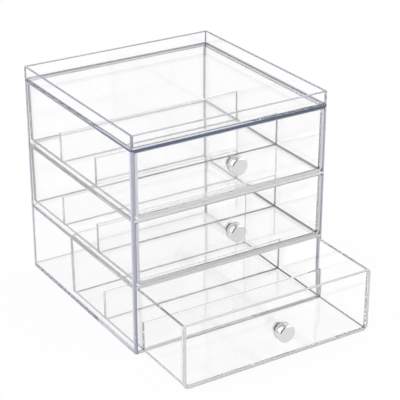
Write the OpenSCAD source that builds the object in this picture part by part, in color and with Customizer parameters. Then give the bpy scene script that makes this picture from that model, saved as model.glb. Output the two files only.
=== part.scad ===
// Clear tabletop chest with three sliding drawers, round knobs and a rimmed tray on top.
// Origin at the middle of the casing's underside, front towards -Y, +Z up, millimetres.

/* [Casing] */
// Outside width of the casing
casing_w = 170; // [140:1:220]
// Outside depth of the casing, front to back
casing_d = 172; // [150:1:240]
// Thickness of the two side walls
side_t = 2.2; // [1.8:0.1:4]
// Thickness of the back wall
back_t = 2; // [1.6:0.1:4]
// Thickness of the casing's floor
floor_t = 2.4; // [1.6:0.1:5]
// Radius of the casing's upright outer edges
edge_r = 1.5; // [0.5:0.1:1.7]

/* [Shelves] */
// Thickness of the two shelf plates
shelf_t = 2.2; // [1.4:0.1:4]
// How far a shelf's side edges sit in the grooves of the casing
groove_depth = 0.8; // [0.3:0.1:1.2]

/* [Top tray] */
// Thickness of the tray's plate
tray_plate_t = 2.2; // [1.5:0.1:5]
// How far the plate's locating step drops into the casing
tray_step_h = 0.8; // [0.4:0.1:2]
// Height of the rim above the plate
tray_rim_h = 10.2; // [4:0.1:25]
// Thickness of the rim
tray_rim_t = 1.8; // [1:0.1:3]
// Radius between the rim and the plate inside the tray
tray_fillet_r = 1.2; // [0.4:0.1:3]
// Radius of the rim's upright inner corners
tray_corner_r = 0.8; // [0.3:0.1:1.2]
// Gap between the locating step and the casing's walls
tray_fit = 0.15; // [0.05:0.05:0.4]

/* [Drawers] */
// Clear height of each drawer's opening
opening_h = 52; // [40:0.5:80]
// Gap between a drawer's front and the casing on each side
front_gap = 0.4; // [0.2:0.1:1]
// Gap between a drawer and the surface that it runs on
run_gap = 0.3; // [0.2:0.1:0.8]
// Gap above a drawer
head_gap = 0.5; // [0.3:0.1:1.5]
// Gap behind a shut drawer
rear_gap = 0.5; // [0.4:0.1:3]
// Thickness of a drawer's front
front_t = 2.6; // [1.8:0.1:4]
// Radius of the front's lower corners and of the drawer's lower edges
front_lower_r = 4.5; // [3.5:0.1:8]
// Radius of the front's upper corners
front_upper_r = 2; // [0.5:0.1:4]
// How far the drawer's walls stand in from the front's edges at the top
wall_inset = 0.4; // [0.3:0.1:2]
// Thickness of the drawer's walls at the top
wall_t = 2; // [1.2:0.1:3]
// Thickness of the drawer's floor
drawer_floor_t = 2.2; // [1.5:0.1:4]
// Lean of the walls' outer faces, in degrees
outer_lean_deg = 0.4; // [0.2:0.1:2]
// Lean of the walls' inner faces, in degrees
inner_lean_deg = 0.6; // [0.3:0.1:3]
// How far the lowest drawer is pulled out
open_reach = 65; // [0:1:120]

/* [Dividers] */
// Distance from the front's inner face to the first divider, and on to the next
divider_pitch = 57; // [35:0.5:70]
// Height of the dividers above the drawer's floor
divider_h = 24.5; // [10:0.5:35]
// Thickness of the dividers at the top
divider_t = 1.8; // [1.2:0.1:3]
// Lean of the dividers' faces, in degrees
divider_lean_deg = 0.9; // [0.3:0.1:2]

/* [Knobs] */
// Diameter of the knob's head
knob_d = 14; // [13:0.5:24]
// Length of the knob's head
knob_head_l = 8; // [4:0.1:12]
// Diameter of the knob's neck
knob_neck_d = 7; // [6.5:0.1:9.5]
// Length of the knob's neck
knob_neck_l = 2; // [2:0.1:12]
// Radius between the neck and the head
knob_cove_r = 1.2; // [0.3:0.1:1.8]
// Chamfer round the edges of the head
knob_chamfer = 0.8; // [0.2:0.1:1.2]
// Metal left between the knob's blind hole and its face
knob_face_t = 2.5; // [2:0.1:5]

/* [Screws] */
// Diameter of the screw that holds a knob
screw_d = 4; // [3:0.1:5]
// Gap between the screw's tip and the end of the knob's hole
tip_gap = 0.9; // [0.5:0.1:1.5]
// Diameter of the screw's pan head
screw_head_d = 8; // [6:0.1:10]
// Height of the screw's pan head
screw_head_h = 2; // [1.8:0.1:4]
// Radius round the top of the pan head
screw_crown_r = 0.9; // [0.3:0.1:0.9]
// Length of the two arms of the cross recess
recess_l = 4.4; // [3:0.1:5]
// Width of the arms of the cross recess
recess_w = 1.1; // [0.7:0.1:1.5]
// Depth of the cross recess
recess_depth = 1.3; // [0.8:0.1:1.4]
// Diameter of the washer
washer_d = 9; // [8.5:0.1:14]
// Thickness of the washer
washer_t = 0.8; // [0.5:0.1:2]
// Gap round the screw's shank in the front and the washer
shank_gap = 0.25; // [0.1:0.05:0.5]
// Gap round the screw's thread in the knob
thread_gap = 0.05; // [0.02:0.01:0.15]

/* [Hidden] */
$fn = 64;

// Levels, counted from the bottom
BOTTOM = 0;
MIDDLE = 1;
TOP = 2;

// A cut runs this far past the face that it opens
past = 1;

// Casing
front_y = -casing_d / 2;
opening_w = casing_w - 2 * side_t;
opening_d = casing_d - back_t;
level_pitch = opening_h + shelf_t;
casing_h = floor_t + opening_h + TOP * level_pitch + tray_step_h;
function level_z(level) = floor_t + level * level_pitch;

// Top tray
tray_hollow_w = casing_w - 2 * tray_rim_t;
tray_hollow_d = casing_d - 2 * tray_rim_t;

// Drawer, in its own frame: x across, y from the front's face, z from the front's lower edge
front_w = opening_w - 2 * front_gap;
front_h = opening_h - run_gap - head_gap;
drawer_l = opening_d - rear_gap;
drawer_top_w = front_w - 2 * wall_inset;
hollow_top_w = drawer_top_w - 2 * wall_t;
hollow_l = drawer_l - wall_t - front_t;
hollow_h = front_h - drawer_floor_t;
hollow_r = front_lower_r - wall_t;
divider_root_z = drawer_floor_t / 2;
knob_z = front_h / 2;

// Knob and screw, along their own axis
knob_l = knob_neck_l + knob_head_l;
bore_depth = knob_l - knob_face_t;
screw_l = washer_t + front_t + bore_depth - tip_gap;

// A rectangle from the origin's middle with four equal round corners
module round_plate(w, d, r) {
    square([w - 2 * r, d], center = true);
    square([w, d - 2 * r], center = true);
    for (x = [-1, 1], y = [-1, 1])
        translate([x * (w / 2 - r), y * (d / 2 - r)])
            circle(r);
}

// Outline of a drawer's front, standing on its lower edge
module front_outline() {
    square_h = front_h - front_lower_r - front_upper_r;
    translate([-front_w / 2, front_lower_r])
        square([front_w, square_h]);
    translate([-front_w / 2 + front_lower_r, 0])
        square([front_w - 2 * front_lower_r, front_lower_r]);
    translate([-front_w / 2 + front_upper_r, front_h - front_upper_r])
        square([front_w - 2 * front_upper_r, front_upper_r]);
    for (side = [-1, 1]) {
        translate([side * (front_w / 2 - front_lower_r), front_lower_r])
            circle(front_lower_r);
        translate([side * (front_w / 2 - front_upper_r), front_h - front_upper_r])
            circle(front_upper_r);
    }
}

// Half of a cup's section: the side leans out by lean_deg and meets the floor in an arc of radius r
module half_cup(half_top, h, lean_deg, r) {
    half_foot = half_top - h * tan(lean_deg);
    reach = r * tan(45 - lean_deg / 2);
    polygon([
        [0, 0],
        [half_foot - reach, 0],
        [half_foot + reach * sin(lean_deg), reach * cos(lean_deg)],
        [half_top, h],
        [0, h]
    ]);
    translate([half_foot - reach, r])
        circle(r);
}

// Section of a cup across x, both sides leaning out
module cup_across(top_w, h, lean_deg, r) {
    half_cup(top_w / 2, h, lean_deg, r);
    mirror([1, 0])
        half_cup(top_w / 2, h, lean_deg, r);
}

// Extrudes an outline drawn in x and z along y
module along_y(y, l) {
    translate([0, y + l, 0])
        rotate([90, 0, 0])
            linear_extrude(l)
                children();
}

// Extrudes an outline drawn in y and z along x, centred
module along_x(w) {
    rotate([90, 0, 90])
        translate([0, 0, -w / 2])
            linear_extrude(w)
                children();
}

// A cup-shaped block that starts at y = 0 and ends in a leaning rear wall
module cup_block(top_w, l, h, lean_deg, r) {
    intersection() {
        along_y(0, l)
            cup_across(top_w, h, lean_deg, r);
        along_x(top_w)
            half_cup(l, h, lean_deg, r);
    }
}

// The drawer's outer shape behind its front
module drawer_block() {
    cup_block(drawer_top_w, drawer_l, front_h, outer_lean_deg, front_lower_r);
}

// A low wall across the drawer, thinner towards its round top
module divider() {
    half_top = divider_t / 2;
    half_foot = half_top + divider_h * tan(divider_lean_deg);
    crest_z = drawer_floor_t + divider_h - half_top;
    along_x(drawer_top_w) {
        polygon([
            [-half_foot, divider_root_z],
            [half_foot, divider_root_z],
            [half_top, crest_z],
            [-half_top, crest_z]
        ]);
        translate([0, crest_z])
            circle(half_top);
    }
}

// One drawer: front, walls, floor and two dividers in one moulding
module drawer() {
    color("aliceblue", 0.35)
        difference() {
            union() {
                along_y(0, front_t)
                    front_outline();
                difference() {
                    drawer_block();
                    translate([0, front_t, drawer_floor_t])
                        cup_block(hollow_top_w, hollow_l, hollow_h, inner_lean_deg, hollow_r);
                }
                intersection() {
                    drawer_block();
                    for (i = [1, 2])
                        translate([0, front_t + i * divider_pitch, 0])
                            divider();
                }
            }
            translate([0, -past, knob_z])
                rotate([-90, 0, 0])
                    cylinder(h = front_t + 2 * past, d = screw_d + 2 * shank_gap);
        }
}

// Half of a knob's section, the neck's foot at the origin
module knob_section() {
    neck_r = knob_neck_d / 2;
    head_r = knob_d / 2;
    square([neck_r, knob_l]);
    translate([0, knob_neck_l])
        polygon([
            [0, 0],
            [head_r - knob_chamfer, 0],
            [head_r, knob_chamfer],
            [head_r, knob_head_l - knob_chamfer],
            [head_r - knob_chamfer, knob_head_l],
            [0, knob_head_l]
        ]);
    translate([neck_r, knob_neck_l - knob_cove_r])
        difference() {
            square(knob_cove_r);
            translate([knob_cove_r, 0])
                circle(knob_cove_r);
        }
}

// One knob: neck and head turned in one piece, with a blind threaded hole
module knob() {
    color("gainsboro")
        difference() {
            rotate_extrude()
                knob_section();
            translate([0, 0, -past])
                cylinder(h = bore_depth + past, d = screw_d + 2 * thread_gap);
        }
}

// Half of a pan head's section, its flat side on the x axis and its crown below
module pan_section() {
    head_r = screw_head_d / 2;
    flat_r = head_r - screw_crown_r;
    side_h = screw_head_h - screw_crown_r;
    translate([0, -screw_head_h])
        square([flat_r, screw_head_h]);
    translate([0, -side_h])
        square([head_r, side_h]);
    translate([flat_r, -side_h])
        circle(screw_crown_r);
}

// One pan head screw with a cross recess: shank towards +Z, head below the washer
module knob_screw() {
    color("silver")
        difference() {
            union() {
                cylinder(h = screw_l, d = screw_d);
                rotate_extrude()
                    pan_section();
            }
            for (turn = [0, 90])
                rotate([0, 0, turn])
                    translate([-recess_l / 2, -recess_w / 2, -screw_head_h - past])
                        cube([recess_l, recess_w, recess_depth + past]);
        }
}

// One flat washer
module knob_washer() {
    color("silver")
        difference() {
            cylinder(h = washer_t, d = washer_d);
            translate([0, 0, -past])
                cylinder(h = washer_t + 2 * past, d = screw_d + 2 * shank_gap);
        }
}

// Puts a piece of a drawer at its level, pulled out by reach
module at_level(level, reach = 0) {
    translate([0, front_y - reach, level_z(level) + run_gap])
        children();
}

// Puts a turned piece on the knob's axis, y behind the front's face, its +Z towards the front
module on_knob_axis(y) {
    translate([0, y, knob_z])
        rotate([90, 0, 0])
            children();
}

// A shelf's plate at its level, its side edges in the casing's walls
module shelf_block(level, front_past = 0) {
    w = opening_w + 2 * groove_depth;
    translate([-w / 2, front_y - front_past, level_z(level) - shelf_t])
        cube([w, opening_d + front_past, shelf_t]);
}

module shelf(level) {
    color("aliceblue", 0.35)
        shelf_block(level);
}

// Two sides, a floor and a back, open at the front and the top, with a groove for each shelf
module casing() {
    color("aliceblue", 0.35)
        difference() {
            linear_extrude(casing_h)
                round_plate(casing_w, casing_d, edge_r);
            translate([-opening_w / 2, front_y - past, floor_t])
                cube([opening_w, opening_d + past, casing_h]);
            for (level = [MIDDLE, TOP])
                shelf_block(level, past);
        }
}

// The room inside the tray's rim, open at the top
module tray_hollow() {
    h = tray_rim_h + past;
    intersection() {
        along_y(-tray_hollow_d / 2, tray_hollow_d)
            cup_across(tray_hollow_w, h, 0, tray_fillet_r);
        along_x(tray_hollow_w)
            cup_across(tray_hollow_d, h, 0, tray_fillet_r);
        linear_extrude(h)
            round_plate(tray_hollow_w, tray_hollow_d, tray_corner_r);
    }
}

// Plate with a rim all round and a step below that locates it between the casing's walls
module top_tray() {
    step_w = opening_w - 2 * tray_fit;
    color("aliceblue", 0.35) {
        difference() {
            translate([0, 0, casing_h])
                linear_extrude(tray_plate_t + tray_rim_h)
                    round_plate(casing_w, casing_d, edge_r);
            translate([0, 0, casing_h + tray_plate_t])
                tray_hollow();
        }
        translate([-step_w / 2, front_y, casing_h - tray_step_h])
            cube([step_w, opening_d - tray_fit, tray_step_h]);
    }
}

module upper_shelf() shelf(TOP);
module lower_shelf() shelf(MIDDLE);

module top_drawer() at_level(TOP) drawer();
module middle_drawer() at_level(MIDDLE) drawer();
module bottom_drawer() at_level(BOTTOM, open_reach) drawer();

module top_knob() at_level(TOP) on_knob_axis(0) knob();
module middle_knob() at_level(MIDDLE) on_knob_axis(0) knob();
module bottom_knob() at_level(BOTTOM, open_reach) on_knob_axis(0) knob();

module top_knob_screw() at_level(TOP) on_knob_axis(front_t + washer_t) knob_screw();
module middle_knob_screw() at_level(MIDDLE) on_knob_axis(front_t + washer_t) knob_screw();
module bottom_knob_screw() at_level(BOTTOM, open_reach) on_knob_axis(front_t + washer_t) knob_screw();

module top_knob_washer() at_level(TOP) on_knob_axis(front_t + washer_t) knob_washer();
module middle_knob_washer() at_level(MIDDLE) on_knob_axis(front_t + washer_t) knob_washer();
module bottom_knob_washer() at_level(BOTTOM, open_reach) on_knob_axis(front_t + washer_t) knob_washer();

casing();
top_tray();
upper_shelf();
lower_shelf();
top_drawer();
middle_drawer();
bottom_drawer();
top_knob();
middle_knob();
bottom_knob();
top_knob_screw();
middle_knob_screw();
bottom_knob_screw();
top_knob_washer();
middle_knob_washer();
bottom_knob_washer();
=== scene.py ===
"""Looks of a clear tabletop chest with three drawers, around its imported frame. Units are metres."""

import math

import bpy
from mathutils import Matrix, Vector

SHELF_NODES = ("upper_shelf", "lower_shelf")
LEVELS = ("top", "middle", "bottom")

# Camera: where the photograph was taken from, about a point in the chest
AIM = Vector((0.0328, 0.0122, 0.0599))
AZIMUTH_DEG = -31.9
ELEVATION_DEG = 24.85
CAMERA_DISTANCE = 1.175
FOCAL_PIXELS = 1431
PHOTO_PIXELS = 400
SENSOR_MM = 36

# Light runs along the inside of a clear plate in many bounces before it leaves at an edge
BOUNCES = 160

# Floor
FLOOR_SIDE = 40
FLOOR_DROP = 0.0003
FLOOR_COLOUR = (0.95, 0.95, 0.95, 1)
FLOOR_WHITE_SHARE = 0.95

# World: the sweep and the ceiling by the upward part of a direction, the room by its angle from the camera's
SWEEP_COLOUR = (1, 1, 1, 1)
SWEEP_TOP = 0.42
CEILING_COLOUR = (0.66, 0.67, 0.7, 1)
CEILING_START = 0.6
ROOM_COLOUR = (0.06, 0.06, 0.055, 1)
ROOM_EDGE_DEG = 42
ROOM_CORE_DEG = 22

# Lamps, with their power in watts
KEY_PLACE = (-1.3, 0.5, 1.3)
KEY_SIDE = 2.2
KEY_POWER = 22
FILL_PLACE = (1.2, -0.6, 1.1)
FILL_SIDE = 1.5
FILL_POWER = 12

# Clear plastic, with its noise in cycles per metre
PLASTIC_IOR = 1.5
CLEAR_COLOUR = (1, 1, 1, 1)
ABSORPTION_COLOUR = (0.87, 0.8825, 0.9125, 1)
SHELL_DENSITY = 12
DRAWER_DENSITY = 3
WAVE_SCALE = 35
WAVE_DETAIL = 1
WAVE_HEIGHT = 0.0004
WAVE_STRENGTH = 0.03
HAZE_SCALE = 900
HAZE_DETAIL = 3
HAZE_ROUGHNESS = (0, 0.03)

# Limits of masks: each pair holds the value at which a mask is 0 and the value at which it is 1
EDGE_LIMITS = (0.985, 0.92)
SHELL_ROUND_LIMITS = (0.97, 0.92)
DRAWER_ROUND_LIMITS = (0.84, 0.78)
UPRIGHT_LIMITS = (0.3, 0.1)
FACING_LIMITS = (-0.9, -0.98)

# Limits of masks in shares of a piece's box, from 0 to 1
BOX_MIDDLE = 0.5
CORNER_SHARE = (0.481, 0.487)
BEHIND_FRONT_SHARE = (0.011, 0.0155)
FRONT_MIDDLE = 0.0077
FRONT_HALF = (0.0062, 0.005)
WALL_SHARE = (0.484, 0.487)
FLOOR_SHARE = (0.05, 0.043)
PLATE_SHARE = (0.2, 0.175)
PLATE_RUN = (0.95, 0.2)

# Edges of the plastic, which are rougher and let less light through than its faces, and carry a painted
# shade that stands in for the lines that refraction draws along them
EDGE_SAMPLES = 12
EDGE_ROUGHNESS = 0.2
EDGE_CLEARNESS = 0.2
CASING_EDGE_WIDTH = 0.0015
TRAY_EDGE_WIDTH = 0.0018
SHELF_EDGE_WIDTH = 0.0003
FRONT_EDGE_WIDTH = 0.0005
DRAWER_EDGE_WIDTH = 0.0012
CASING_EDGE_PAINTED_SHADE = (0.55, 0.56, 0.67, 1)
TRAY_EDGE_PAINTED_SHADE = (0.38, 0.39, 0.46, 1)
DRAWER_EDGE_PAINTED_SHADE = (0.42, 0.42, 0.385, 1)

# Painted light and shade on the ends of plates and round the drawer fronts, standing in for the light that
# has run along their whole length inside them
PLATE_END_PAINTED_SHADE = (0.09, 0.11, 0.19, 1)
SHELF_END_PAINTED_LIGHT = (0.95, 0.95, 0.97, 1)
FRONT_END_PAINTED_LIGHT = (0.8, 0.8, 0.82, 1)
BORDER_PAINTED_LIGHT = (0.78, 0.78, 0.8, 1)

# Metal, with its noise in cycles per metre
CHROME_COLOUR = (0.72, 0.715, 0.7, 1)
SATIN_COLOUR = (0.74, 0.735, 0.72, 1)
CHROME_ROUGHNESS = 0.08
SATIN_ROUGHNESS = 0.3
POLISH_SCALE = 4000
POLISH_DETAIL = 2
POLISH_ROUGHNESS = (0, 0.08)
STEEL_COLOUR = (0.66, 0.66, 0.65, 1)
MOTTLE_SCALE = 3000
MOTTLE_DETAIL = 3
MOTTLE_ROUGHNESS = (0.22, 0.4)

# How far touching faces are drawn apart
HAIR = 0.00003
WELD_DISTANCE = 0.000001


def new_material(name):
    """An empty node material with a Principled shader on its output."""
    material = bpy.data.materials.new(name)
    material.use_nodes = True
    tree = material.node_tree
    tree.nodes.clear()
    shader = tree.nodes.new("ShaderNodeBsdfPrincipled")
    output = tree.nodes.new("ShaderNodeOutputMaterial")
    tree.links.new(shader.outputs["BSDF"], output.inputs["Surface"])
    return material, tree, shader, output


def noise(tree, scale, detail):
    """A noise texture in the piece's own coordinates."""
    coordinates = tree.nodes.new("ShaderNodeTexCoord")
    texture = tree.nodes.new("ShaderNodeTexNoise")
    texture.inputs["Scale"].default_value = scale
    texture.inputs["Detail"].default_value = detail
    tree.links.new(coordinates.outputs["Object"], texture.inputs["Vector"])
    return texture.outputs["Fac"]


def remap(tree, value, low, high):
    """Spreads a 0 to 1 value over low to high."""
    node = tree.nodes.new("ShaderNodeMapRange")
    node.inputs["To Min"].default_value = low
    node.inputs["To Max"].default_value = high
    tree.links.new(value, node.inputs["Value"])
    return node.outputs["Result"]


def ramp(tree, value, first, last):
    """Runs from 0 where value is first to 1 where it is last."""
    node = tree.nodes.new("ShaderNodeMapRange")
    node.inputs["From Min"].default_value = first
    node.inputs["From Max"].default_value = last
    tree.links.new(value, node.inputs["Value"])
    return node.outputs["Result"]


def maths(tree, operation, first, second):
    """One maths node on a socket and a second socket or number."""
    node = tree.nodes.new("ShaderNodeMath")
    node.operation = operation
    tree.links.new(first, node.inputs[0])
    if isinstance(second, (int, float)):
        node.inputs[1].default_value = second
    else:
        tree.links.new(second, node.inputs[1])
    return node.outputs[0]


def size_of(tree, value):
    """A value without its sign."""
    node = tree.nodes.new("ShaderNodeMath")
    node.operation = "ABSOLUTE"
    tree.links.new(value, node.inputs[0])
    return node.outputs[0]


def distance_from(tree, value, middle):
    """How far a value is from a number, either way."""
    return size_of(tree, maths(tree, "SUBTRACT", value, middle))


def dot_product(tree, first, second):
    """The dot product of a vector socket and a second vector socket or constant vector."""
    node = tree.nodes.new("ShaderNodeVectorMath")
    node.operation = "DOT_PRODUCT"
    tree.links.new(first, node.inputs[0])
    if isinstance(second, Vector):
        node.inputs[1].default_value = second
    else:
        tree.links.new(second, node.inputs[1])
    return node.outputs["Value"]


def split_vector(tree, vector):
    """The X, Y and Z of a vector."""
    node = tree.nodes.new("ShaderNodeSeparateXYZ")
    tree.links.new(vector, node.inputs[0])
    return node.outputs


def mixed_colour(tree, factor, first, second):
    """Runs from the first colour at 0 to the second at 1; the first may be a socket."""
    node = tree.nodes.new("ShaderNodeMixRGB")
    tree.links.new(factor, node.inputs["Fac"])
    if isinstance(first, tuple):
        node.inputs["Color1"].default_value = first
    else:
        tree.links.new(first, node.inputs["Color1"])
    node.inputs["Color2"].default_value = second
    return node.outputs["Color"]


def bump(tree, shader, height, distance, strength):
    """Feeds a height into the shader's normal."""
    node = tree.nodes.new("ShaderNodeBump")
    node.inputs["Strength"].default_value = strength
    node.inputs["Distance"].default_value = distance
    tree.links.new(height, node.inputs["Height"])
    tree.links.new(node.outputs["Normal"], shader.inputs["Normal"])


def own_normal(tree):
    """The X, Y and Z of a face's normal in the piece's own axes."""
    geometry = tree.nodes.new("ShaderNodeNewGeometry")
    turn = tree.nodes.new("ShaderNodeVectorTransform")
    turn.vector_type = "NORMAL"
    turn.convert_from = "WORLD"
    turn.convert_to = "OBJECT"
    tree.links.new(geometry.outputs["True Normal"], turn.inputs[0])
    return split_vector(tree, turn.outputs[0])


def box_share(tree):
    """The X, Y and Z of a place as shares of the piece's box, from 0 to 1."""
    coordinates = tree.nodes.new("ShaderNodeTexCoord")
    return split_vector(tree, coordinates.outputs["Generated"])


def squareness(tree):
    """How nearly a face looks along one of the piece's axes: 1 on flat walls, 0.7 half way round an edge."""
    across, along, up = [size_of(tree, value) for value in own_normal(tree)]
    return maths(tree, "MAXIMUM", maths(tree, "MAXIMUM", across, along), up)


def rounded_normal(tree, radius):
    """The normal that a face would have if its edges were rounded to a radius, a number or a socket."""
    node = tree.nodes.new("ShaderNodeBevel")
    node.samples = EDGE_SAMPLES
    if isinstance(radius, float):
        node.inputs["Radius"].default_value = radius
    else:
        tree.links.new(radius, node.inputs["Radius"])
    return node.outputs["Normal"]


def nearness_to_edge(tree, radius):
    """From 0 on open faces to 1 beside a sharp edge, within the radius."""
    geometry = tree.nodes.new("ShaderNodeNewGeometry")
    likeness = dot_product(tree, rounded_normal(tree, radius), geometry.outputs["Normal"])
    return ramp(tree, likeness, *EDGE_LIMITS)


def drawer_edge_width(tree):
    """Narrow on the drawer's front, and wider behind it."""
    behind = ramp(tree, box_share(tree)["Y"], *BEHIND_FRONT_SHARE)
    return remap(tree, behind, FRONT_EDGE_WIDTH, DRAWER_EDGE_WIDTH)


def upright_corner_shade(tree):
    """From 0 on open faces to 1 along the four upright outer edges of the piece's box, where the casing's
    posts get painted shade.
    """
    place = box_share(tree)
    near = [ramp(tree, distance_from(tree, place[axis], BOX_MIDDLE), *CORNER_SHARE) for axis in ("X", "Y")]
    return maths(tree, "MINIMUM", *near)


def plate_end_shade(tree):
    """From 0 to 1 on the upright ends of the tray's plate, less towards the rear, where a painted dark shade
    goes.
    """
    place = box_share(tree)
    low = ramp(tree, place["Z"], *PLATE_SHARE)
    forward = ramp(tree, place["Y"], *PLATE_RUN)
    upright = ramp(tree, size_of(tree, own_normal(tree)["Z"]), *UPRIGHT_LIMITS)
    return maths(tree, "MULTIPLY", maths(tree, "MULTIPLY", low, forward), upright)


def front_end_light(tree):
    """From 0 to 1 on the narrow faces round a drawer's front, between their edges, where painted light goes.
    """
    within = ramp(tree, distance_from(tree, box_share(tree)["Y"], FRONT_MIDDLE), *FRONT_HALF)
    sideways = ramp(tree, size_of(tree, own_normal(tree)["Y"]), *UPRIGHT_LIMITS)
    return maths(tree, "MULTIPLY", within, sideways)


def facing_front(tree):
    """From 0 to 1 on faces that look to the front."""
    return ramp(tree, own_normal(tree)["Y"], *FACING_LIMITS)


def front_border_light(tree):
    """From 0 to 1 along a drawer front's sides and foot, where the walls and floor run into it and painted
    light goes.
    """
    place = box_share(tree)
    sides = ramp(tree, distance_from(tree, place["X"], BOX_MIDDLE), *WALL_SHARE)
    border = maths(tree, "MAXIMUM", sides, ramp(tree, place["Z"], *FLOOR_SHARE))
    return maths(tree, "MULTIPLY", border, facing_front(tree))


def plastic_body(name, density):
    """Clear moulding with faint waves from the mould and a cool tint through long paths."""
    material, tree, shader, output = new_material(name)
    shader.inputs["IOR"].default_value = PLASTIC_IOR
    bump(tree, shader, noise(tree, WAVE_SCALE, WAVE_DETAIL), WAVE_HEIGHT, WAVE_STRENGTH)
    volume = tree.nodes.new("ShaderNodeVolumeAbsorption")
    volume.inputs["Color"].default_value = ABSORPTION_COLOUR
    volume.inputs["Density"].default_value = density
    tree.links.new(volume.outputs["Volume"], output.inputs["Volume"])
    return material, tree, shader


def clear_plastic(name, density, edge_shade_colour, round_limits, edge_width, ends=(), corners=False):
    """Polished faces with a fine haze, and edges and plate ends that show as soft lines of painted light and
    shade.
    """
    material, tree, shader = plastic_body(name, density)
    if callable(edge_width):
        edge_width = edge_width(tree)
    # Rounds and faces beside sharp edges get a painted shade for the lines that refraction draws there, and
    # are also rougher and less clear
    round_shade = ramp(tree, squareness(tree), *round_limits)
    edge = maths(tree, "MAXIMUM", round_shade, nearness_to_edge(tree, edge_width))
    # The casing's posts get the edges' painted shade
    if corners:
        edge = maths(tree, "MAXIMUM", edge, upright_corner_shade(tree))
    colour = mixed_colour(tree, edge, CLEAR_COLOUR, edge_shade_colour)
    # Painted light on the pale ends and borders, and painted shade on the dark ones
    for find_end, painted_end_colour in ends:
        end = find_end(tree)
        colour = mixed_colour(tree, end, colour, painted_end_colour)
        edge = maths(tree, "MAXIMUM", edge, end)
    tree.links.new(colour, shader.inputs["Base Color"])
    tree.links.new(remap(tree, edge, 1, EDGE_CLEARNESS), shader.inputs["Transmission Weight"])
    haze = remap(tree, noise(tree, HAZE_SCALE, HAZE_DETAIL), *HAZE_ROUGHNESS)
    rough = maths(tree, "MULTIPLY", edge, EDGE_ROUGHNESS)
    tree.links.new(maths(tree, "MAXIMUM", haze, rough), shader.inputs["Roughness"])
    return material


def casing_plastic():
    """The casing's plastic, with painted shade on its four posts."""
    return clear_plastic(
        "casing_plastic", SHELL_DENSITY, CASING_EDGE_PAINTED_SHADE, SHELL_ROUND_LIMITS, CASING_EDGE_WIDTH,
        corners=True)


def tray_plastic():
    """The top tray's plastic, with a painted dark shade on the ends of its plate."""
    return clear_plastic(
        "tray_plastic", SHELL_DENSITY, TRAY_EDGE_PAINTED_SHADE, SHELL_ROUND_LIMITS, TRAY_EDGE_WIDTH,
        ends=((plate_end_shade, PLATE_END_PAINTED_SHADE),))


def shelf_plastic():
    """The shelves' plastic, with painted light on their front ends."""
    return clear_plastic(
        "shelf_plastic", DRAWER_DENSITY, TRAY_EDGE_PAINTED_SHADE, SHELL_ROUND_LIMITS, SHELF_EDGE_WIDTH,
        ends=((facing_front, SHELF_END_PAINTED_LIGHT),))


def drawer_plastic():
    """The drawers' plastic, with painted light on the narrow faces round their fronts and on a border round
    them.
    """
    return clear_plastic(
        "drawer_plastic", DRAWER_DENSITY, DRAWER_EDGE_PAINTED_SHADE, DRAWER_ROUND_LIMITS, drawer_edge_width,
        ends=((front_end_light, FRONT_END_PAINTED_LIGHT), (front_border_light, BORDER_PAINTED_LIGHT)))


def chrome():
    """Polished plating on the knob's sides and a satin face."""
    material, tree, shader, _ = new_material("knob_chrome")
    shader.inputs["Metallic"].default_value = 1
    face = facing_front(tree)
    tree.links.new(mixed_colour(tree, face, CHROME_COLOUR, SATIN_COLOUR), shader.inputs["Base Color"])
    grain = remap(tree, noise(tree, POLISH_SCALE, POLISH_DETAIL), *POLISH_ROUGHNESS)
    rough = remap(tree, face, CHROME_ROUGHNESS, SATIN_ROUGHNESS)
    tree.links.new(maths(tree, "ADD", grain, rough), shader.inputs["Roughness"])
    return material


def steel():
    """Zinc plated steel with a fine mottle."""
    material, tree, shader, _ = new_material("screw_steel")
    shader.inputs["Base Color"].default_value = STEEL_COLOUR
    shader.inputs["Metallic"].default_value = 1
    grain = noise(tree, MOTTLE_SCALE, MOTTLE_DETAIL)
    tree.links.new(remap(tree, grain, *MOTTLE_ROUGHNESS), shader.inputs["Roughness"])
    return material


def dress(piece, material):
    """Puts a material on all the faces of a CAD node."""
    piece.data.materials.clear()
    piece.data.materials.append(material)


def shrink(piece):
    """Draws a CAD node's faces in by a hair, so that light doesn't meet two surfaces in one place."""
    weld = piece.modifiers.new("weld", "WELD")
    weld.merge_threshold = WELD_DISTANCE
    hair = piece.modifiers.new("hair", "DISPLACE")
    hair.direction = "NORMAL"
    hair.mid_level = 0
    hair.strength = -HAIR


def lift_seat(piece, seat_z):
    """Lifts the faces that a CAD node sits on by a hair, for the same reason."""
    seat = piece.vertex_groups.new(name="seat")
    low = [vertex.index for vertex in piece.data.vertices if abs(vertex.co.z - seat_z) < HAIR]
    seat.add(low, 1, "REPLACE")
    hair = piece.modifiers.new("hair", "DISPLACE")
    hair.direction = "Z"
    hair.vertex_group = seat.name
    hair.mid_level = 0
    hair.strength = HAIR


def dress_chest(nodes):
    """The looks of the casing, its shelves and the top tray."""
    dress(nodes["casing"], casing_plastic())
    dress(nodes["top_tray"], tray_plastic())
    casing_top = max(corner[2] for corner in nodes["casing"].bound_box)
    lift_seat(nodes["top_tray"], casing_top)
    plastic = shelf_plastic()
    for name in SHELF_NODES:
        dress(nodes[name], plastic)
        shrink(nodes[name])


def dress_drawers(nodes):
    """The looks of the drawers and of the knobs, screws and washers on their fronts."""
    plastic = drawer_plastic()
    knob_metal = chrome()
    screw_metal = steel()
    fittings = (("_knob", knob_metal), ("_knob_screw", screw_metal), ("_knob_washer", screw_metal))
    for level in LEVELS:
        dress(nodes[level + "_drawer"], plastic)
        for ending, metal in fittings:
            dress(nodes[level + ending], metal)
            shrink(nodes[level + ending])


def towards_camera():
    """The direction from the chest to the photograph's camera."""
    azimuth = math.radians(AZIMUTH_DEG)
    elevation = math.radians(ELEVATION_DEG)
    return Vector((
        math.sin(azimuth) * math.cos(elevation),
        -math.cos(azimuth) * math.cos(elevation),
        math.sin(elevation),
    ))


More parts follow.
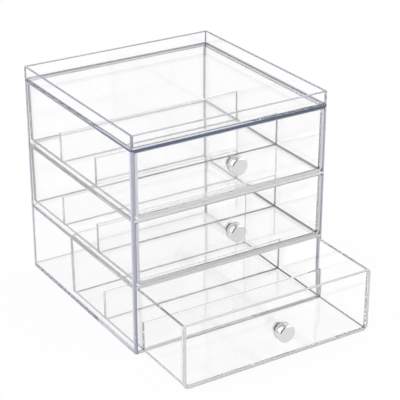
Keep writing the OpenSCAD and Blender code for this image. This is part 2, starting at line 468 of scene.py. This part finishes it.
def make_camera():
    """The photograph's view: the aim point lands on the middle of the frame."""
    back = towards_camera()
    data = bpy.data.cameras.new("camera")
    data.sensor_width = SENSOR_MM
    data.lens = FOCAL_PIXELS / PHOTO_PIXELS * SENSOR_MM
    camera = bpy.data.objects.new("camera", data)
    camera.location = AIM + back * CAMERA_DISTANCE
    camera.rotation_mode = "QUATERNION"
    camera.rotation_quaternion = (-back).to_track_quat("-Z", "Y")
    bpy.context.scene.collection.objects.link(camera)
    bpy.context.scene.camera = camera


def floor_white():
    """Pale floor, mostly plain white to the rays that show it, which keeps a faint shadow."""
    material, tree, shader, output = new_material("floor")
    shader.inputs["Base Color"].default_value = FLOOR_COLOUR
    shader.inputs["Roughness"].default_value = 1
    shader.inputs["Specular IOR Level"].default_value = 0
    path = tree.nodes.new("ShaderNodeLightPath")
    share = path.outputs["Is Camera Ray"]
    for ray in ("Is Glossy Ray", "Is Transmission Ray"):
        share = maths(tree, "MAXIMUM", share, path.outputs[ray])
    share = maths(tree, "MULTIPLY", share, FLOOR_WHITE_SHARE)
    white = tree.nodes.new("ShaderNodeEmission")
    mixed = tree.nodes.new("ShaderNodeMixShader")
    tree.links.new(share, mixed.inputs[0])
    tree.links.new(shader.outputs["BSDF"], mixed.inputs[1])
    tree.links.new(white.outputs["Emission"], mixed.inputs[2])
    tree.links.new(mixed.outputs["Shader"], output.inputs["Surface"])
    return material


def make_floor():
    """A wide square under the chest."""
    half = FLOOR_SIDE / 2
    outline = ((-half, -half), (half, -half), (half, half), (-half, half))
    corners = [(x, y, -FLOOR_DROP) for x, y in outline]
    mesh = bpy.data.meshes.new("floor")
    mesh.from_pydata(corners, [], [(0, 1, 2, 3)])
    mesh.materials.append(floor_white())
    floor = bpy.data.objects.new("floor", mesh)
    bpy.context.scene.collection.objects.link(floor)


def make_world():
    """A white sweep round the horizon under a grey ceiling, and the dark room round the camera."""
    world = bpy.data.worlds.new("studio")
    bpy.context.scene.world = world
    world.use_nodes = True
    tree = world.node_tree
    coordinates = tree.nodes.new("ShaderNodeTexCoord")
    direction = coordinates.outputs["Generated"]
    height = ramp(tree, split_vector(tree, direction)["Z"], SWEEP_TOP, CEILING_START)
    studio = mixed_colour(tree, height, SWEEP_COLOUR, CEILING_COLOUR)
    edge = math.cos(math.radians(ROOM_EDGE_DEG))
    core = math.cos(math.radians(ROOM_CORE_DEG))
    room = ramp(tree, dot_product(tree, direction, towards_camera()), edge, core)
    colour = mixed_colour(tree, room, studio, ROOM_COLOUR)
    tree.links.new(colour, tree.nodes["Background"].inputs["Color"])


def soft_box(name, place, side, power):
    """A square lamp that faces the point that the camera is aimed at."""
    data = bpy.data.lights.new(name, "AREA")
    data.size = side
    data.energy = power
    lamp = bpy.data.objects.new(name, data)
    lamp.location = place
    lamp.rotation_mode = "QUATERNION"
    lamp.rotation_quaternion = (AIM - Vector(place)).to_track_quat("-Z", "Y")
    bpy.context.scene.collection.objects.link(lamp)


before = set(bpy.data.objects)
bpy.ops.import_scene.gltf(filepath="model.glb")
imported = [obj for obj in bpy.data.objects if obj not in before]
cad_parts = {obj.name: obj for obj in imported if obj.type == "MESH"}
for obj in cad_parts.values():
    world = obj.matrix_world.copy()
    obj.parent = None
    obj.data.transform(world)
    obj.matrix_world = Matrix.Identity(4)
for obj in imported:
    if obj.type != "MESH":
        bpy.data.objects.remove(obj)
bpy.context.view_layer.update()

scene = bpy.context.scene
scene.view_settings.view_transform = "Standard"
scene.cycles.max_bounces = BOUNCES
scene.cycles.transmission_bounces = BOUNCES
scene.cycles.glossy_bounces = BOUNCES

make_camera()
make_floor()
make_world()
soft_box("key", KEY_PLACE, KEY_SIDE, KEY_POWER)
soft_box("fill", FILL_PLACE, FILL_SIDE, FILL_POWER)

dress_chest(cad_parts)
dress_drawers(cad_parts)
